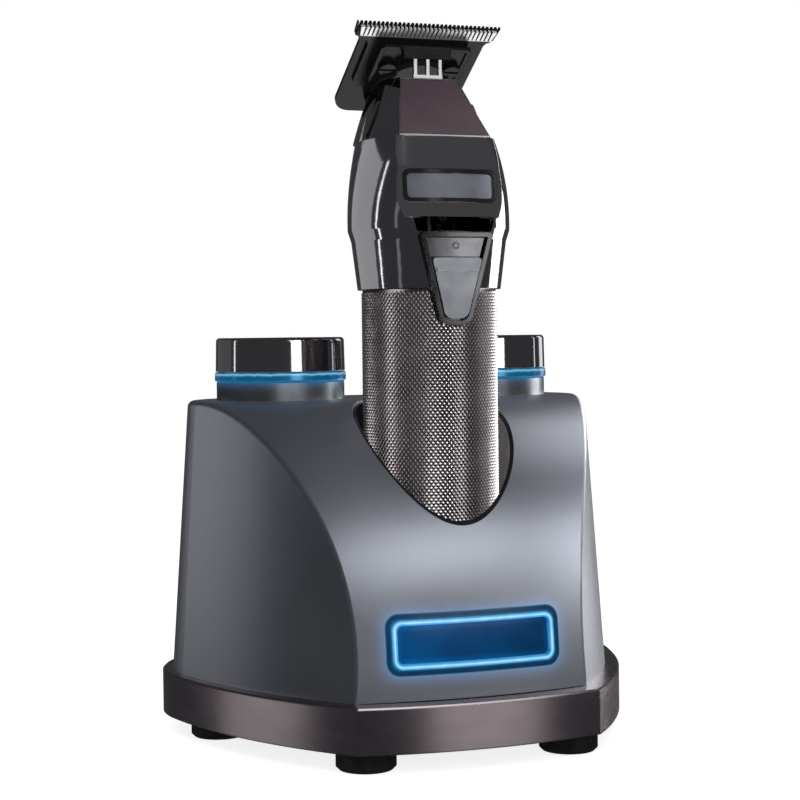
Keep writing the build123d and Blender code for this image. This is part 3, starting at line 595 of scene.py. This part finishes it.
def all_looks():
    """The looks by the record's material slot, and those that single nodes have instead."""
    looks = {
        "dock_paint": dock_paint(),
        "dark_band": dark_band(),
        "black_plastic": black_plastic(),
        "black_rubber": black_rubber(),
        "plated_steel": metal("plated_steel", (0.50, 0.50, 0.52), 0.12, (0.22, 0.38)),
        "gold_contact": metal("gold_contact", (0.80, 0.60, 0.25), 0.08, (0.15, 0.28)),
        "lit_bead": glowing_bead(),
        "blue_lens": blue_lens(),
        "circuit_board": circuit_board(),
        "socket": plastic("socket", (0.012, 0.012, 0.013), (0.18, 0.30)),
        "jar_plastic": plastic("jar_plastic", (0.66, 0.70, 0.73), (0.16, 0.24), 0.03,
                               depth=0.002 * MM, Transmission_Weight=0.35),
        "dark_chrome": metal("dark_chrome", (0.40, 0.385, 0.40), 0.04, (0.05, 0.09), 14 * MM,
                             depth=POLISHED),
        "seal_foam": plastic("seal_foam", (0.50, 0.50, 0.47), (0.7, 0.9), depth=0.05 * MM),
        "knurled_steel": knurled_steel(),
        "cell_wrap": plastic("cell_wrap", (0.02, 0.10, 0.26), (0.15, 0.28)),
        "tinted_cover": plastic("tinted_cover", (0.102, 0.066, 0.080), (0.22, 0.28), 0.08,
                                depth=POLISHED, Metallic=0.75, Coat_Weight=0.3,
                                Coat_Roughness=0.18),
        "badge_dark": plastic("badge_dark", (0.014, 0.014, 0.016), (0.12, 0.2)),
        "badge_grey": plastic("badge_grey", (0.32, 0.345, 0.385), (0.28, 0.36), depth=0.001 * MM,
                              Metallic=0.7),
        "bright_chrome": metal("bright_chrome", (0.17, 0.17, 0.175), 0.3, (0.07, 0.14), 5 * MM,
                               depth=POLISHED),
        "switch_grey": plastic("switch_grey", (0.55, 0.57, 0.61), (0.28, 0.36), depth=0.001 * MM,
                               Metallic=0.85),
        "blade_black": blade_black(),
        "blade_steel": metal("blade_steel", (0.66, 0.65, 0.65), 0.08, (0.16, 0.26), 3 * MM,
                             LINES_BACK, POLISHED),
    }
    rings = ring_glow("light_ring", "light_ring_left", 0.5)
    collar = collar_painted_glow()
    bezel = metal("switch_bezel", (0.10, 0.098, 0.104), 0.05, (0.05, 0.09), depth=0.0005 * MM)
    return looks, {
        "jar_collar_left": collar,
        "jar_collar_right": collar,
        "moving_blade": ground_teeth(),
        "mount_screws": looks["blade_black"],
        "blade_screws": looks["blade_black"],
        "switch_bezel": bezel,
        "window_frame": frame_blue(),
        "light_ring_left": rings,
        "light_ring_right": rings,
        "ring_light_left": ring_glow("ring_light", "ring_light_left", 2.0),
        "ring_light_right": ring_glow("ring_light_r", "ring_light_right", 2.0),
    }


def give(piece, material):
    """Puts the material in every slot that the piece has, or in a new one."""
    if piece.material_slots:
        for place in piece.material_slots:
            place.material = material
    else:
        piece.data.materials.append(material)


# ---- the knurled grip ---------------------------------------------------------------------------
KNURLS_ROUND = 96
KNURL_ROW = 0.75 * MM  # half a diamond's height
CREST_R, VALLEY_R = 17.68 * MM, 17.34 * MM
VALLEY_SHADE_R, CREST_SHINE_R = 17.32 * MM, 17.66 * MM  # between them the colour goes from painted valley shade to painted crest highlight
KNURL_MARGIN = 0.35 * MM  # plain metal at each end
BORE_R = 16.3 * MM
# The sleeve's ends as (radius, height above that end): its foot from the knurl in to the bore, and
# its lip from the bore out to the knurl.
FOOT = [(17.25 * MM, 0.2 * MM), (17.0 * MM, 0.0), (BORE_R, 0.0)]
LIP = [(BORE_R, 0.0), (17.28 * MM, 0.0), (17.33 * MM, -0.1 * MM)]
# The switch's shield, which the sleeve is cut away for, from its foot to above the sleeve's top.
SHIELD_FOOT, SHIELD_TOP = 108 * MM, 133 * MM
SHIELD_FOOT_HALF_W, SHIELD_TOP_HALF_W = 4.0 * MM, 10.2 * MM
SHIELD_RADII = [3.35 * MM, 3.35 * MM, 0.5 * MM, 0.5 * MM]
SHIELD_GAP = 0.1 * MM
CUT_FRONT, CUT_BACK = 30 * MM, 5 * MM  # the cut's reach, in front of the sleeve's axis


def rounded_outline(corners, radii):
    """A 2-D outline with its corners rounded, as a list of points."""
    steps = 8
    points = []
    for i, (corner, radius) in enumerate(zip(corners, radii)):
        corner = Vector(corner)
        before = (Vector(corners[i - 1]) - corner).normalized()
        after = (Vector(corners[(i + 1) % len(corners)]) - corner).normalized()
        half = before.angle(after) / 2
        centre = corner + (before + after).normalized() * radius / math.sin(half)
        start = corner + before * radius / math.tan(half) - centre
        end = corner + after * radius / math.tan(half) - centre
        swing = start.angle(end)
        for k in range(steps + 1):
            t = k / steps
            reach = start * math.sin((1 - t) * swing) + end * math.sin(t * swing)
            points.append(centre + reach / math.sin(swing))
    return points


def shield_cutter(y_front, y_back):
    """The switch's shield outline with its assembly gap, as a prism."""
    foot, top = SHIELD_FOOT_HALF_W + SHIELD_GAP, SHIELD_TOP_HALF_W + SHIELD_GAP
    low = SHIELD_FOOT - SHIELD_GAP
    corners = [(-foot, low), (foot, low), (top, SHIELD_TOP), (-top, SHIELD_TOP)]
    outline = rounded_outline(corners, SHIELD_RADII)
    mesh = bpy.data.meshes.new("cutter")
    bm = bmesh.new()
    near = [bm.verts.new((p.x, y_front, p.y)) for p in outline]
    far = [bm.verts.new((p.x, y_back, p.y)) for p in outline]
    bm.faces.new(near)
    bm.faces.new(far[::-1])
    for i in range(len(outline)):
        j = (i + 1) % len(outline)
        bm.faces.new((near[j], near[i], far[i], far[j]))
    bmesh.ops.recalc_face_normals(bm, faces=bm.faces)
    bm.to_mesh(mesh)
    bm.free()
    cutter = bpy.data.objects.new("cutter", mesh)
    scene.collection.objects.link(cutter)
    return cutter


def knurled_sleeve():
    """The grip's sleeve with its diamond knurl cut in the metal, as one closed mesh."""
    low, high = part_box("grip_sleeve")
    axis_y = (low.y + high.y) / 2
    length = high.z - low.z - 2 * KNURL_MARGIN
    rows = 2 * int(length / KNURL_ROW / 2)
    step = length / rows
    n = KNURLS_ROUND
    bm = bmesh.new()

    def at(r, turns, z):
        a = 2 * math.pi * turns / n
        return bm.verts.new((r * math.sin(a), axis_y - r * math.cos(a), z))

    corners, crests = [], []
    for row in range(rows + 1):
        shift = 0.5 * (row % 2)
        edge = row in (0, rows)
        z = low.z + KNURL_MARGIN + row * step
        corners.append([at(VALLEY_R, i + shift, z) for i in range(n)])
        crest_r = VALLEY_R if edge else CREST_R
        crests.append([at(crest_r, i + shift + 0.5, z) for i in range(n)])
    for row in range(rows + 1):
        odd = row % 2
        for i in range(n):
            left, right, crest = corners[row][i], corners[row][(i + 1) % n], crests[row][i]
            tip = (i + odd) % n
            if row < rows:
                above = corners[row + 1][tip]
                bm.faces.new((left, crest, above))
                bm.faces.new((crest, right, above))
            if row > 0:
                below = corners[row - 1][tip]
                bm.faces.new((below, crest, left))
                bm.faces.new((below, right, crest))

    def loop_of(row):
        return [v for pair in zip(corners[row], crests[row]) for v in pair]

    def ring(r, z):
        return [at(r, i / 2, z) for i in range(2 * n)]

    foot = [ring(r, low.z + rise) for r, rise in FOOT]
    lip = [ring(r, high.z + rise) for r, rise in LIP]
    loops = [loop_of(0), *foot, *lip, loop_of(rows)]
    for one, two in zip(loops, loops[1:]):
        for i in range(2 * n):
            j = (i + 1) % (2 * n)
            bm.faces.new((one[i], two[i], two[j], one[j]))
    bmesh.ops.recalc_face_normals(bm, faces=bm.faces)
    mesh = bpy.data.meshes.new("knurled_grip")
    bm.to_mesh(mesh)
    bm.free()
    sleeve = bpy.data.objects.new("knurled_grip", mesh)
    scene.collection.objects.link(sleeve)
    cutter = shield_cutter(axis_y - CUT_FRONT, axis_y - CUT_BACK)
    cut = sleeve.modifiers.new("shield", "BOOLEAN")
    cut.operation = "DIFFERENCE"
    cut.solver = "EXACT"
    cut.object = cutter
    bpy.context.view_layer.update()
    evaluated = sleeve.evaluated_get(bpy.context.evaluated_depsgraph_get())
    final = bpy.data.meshes.new_from_object(evaluated)
    sleeve.modifiers.clear()
    sleeve.data = final
    final.name = "knurled_grip"
    bpy.data.objects.remove(cutter)
    return sleeve


# ---- the charging pins' springs -----------------------------------------------------------------
WIRE_R, COIL_TURNS = 0.18 * MM, 4


def coil_spring(node):
    """A compression spring between the dock and a pin."""
    low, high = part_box(node)
    wire, turns, steps, sides = WIRE_R, COIL_TURNS, 24, 10
    coil = (high.x - low.x) / 2 - wire
    foot, height = low.z + wire, high.z - low.z - 2 * wire
    slope = height / (2 * math.pi * turns * coil)
    middle = (low + high) / 2
    angles = [2 * math.pi * k / sides for k in range(sides)]
    bm = bmesh.new()
    loops = []
    for i in range(turns * steps + 1):
        turn = 2 * math.pi * i / steps
        outward = Vector((math.cos(turn), math.sin(turn), 0))
        along = Vector((-math.sin(turn), math.cos(turn), slope)).normalized()
        across = along.cross(outward)
        axis = Vector((middle.x, middle.y, foot + height * i / (turns * steps)))
        centre = axis + coil * outward
        rim = [wire * (math.cos(a) * outward + math.sin(a) * across) for a in angles]
        loops.append([bm.verts.new(centre + offset) for offset in rim])
    for one, two in zip(loops, loops[1:]):
        for k in range(sides):
            n = (k + 1) % sides
            bm.faces.new((one[k], one[n], two[n], two[k])).smooth = True
    bm.faces.new(loops[0][::-1])
    bm.faces.new(loops[-1])
    bmesh.ops.recalc_face_normals(bm, faces=bm.faces)
    name = node.replace("pin_spring", "coil_spring")
    mesh = bpy.data.meshes.new(name)
    bm.to_mesh(mesh)
    bm.free()
    spring = bpy.data.objects.new(name, mesh)
    scene.collection.objects.link(spring)
    give(spring, looks["plated_steel"])
    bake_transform(spring)
    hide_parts(node)
    return spring


# ---- the studio floor ---------------------------------------------------------------------------
FLOOR_HALF, FLOOR_DROP = 3.0, 0.0002  # metres


def add_floor():
    """A plain pale floor, which glows enough to meet the white of the room behind it."""
    bm = bmesh.new()
    bmesh.ops.create_grid(bm, x_segments=24, y_segments=24, size=FLOOR_HALF)
    mesh = bpy.data.meshes.new("floor")
    bm.to_mesh(mesh)
    bm.free()
    floor = bpy.data.objects.new("floor", mesh)
    floor.location.z = -FLOOR_DROP
    scene.collection.objects.link(floor)
    look = Look("floor")
    patches = look.noise(0.4, detail=2.0)
    look.set(Base_Color=look.ramp(patches, (0.3, (0.90, 0.90, 0.90)), (0.7, (0.93, 0.93, 0.93))))
    look.set(Roughness=0.8, Emission_Color=(1, 1, 1, 1), Emission_Strength=0.84)
    give(floor, look.material)
    floor.visible_glossy = False
    floor.visible_diffuse = False


add_camera()
add_floor()
looks, special = all_looks()
for row in frame["record"]["subparts"]:
    name = row["node"]
    give(nodes[name], special.get(name) or looks[row["material_slot"]])

grip = knurled_sleeve()
give(grip, looks["knurled_steel"])
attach(grip, "trimmer")
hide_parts("grip_sleeve")
springs = [coil_spring("pin_spring_" + side) for side in ("left", "right")]
add_lights(grip, springs)
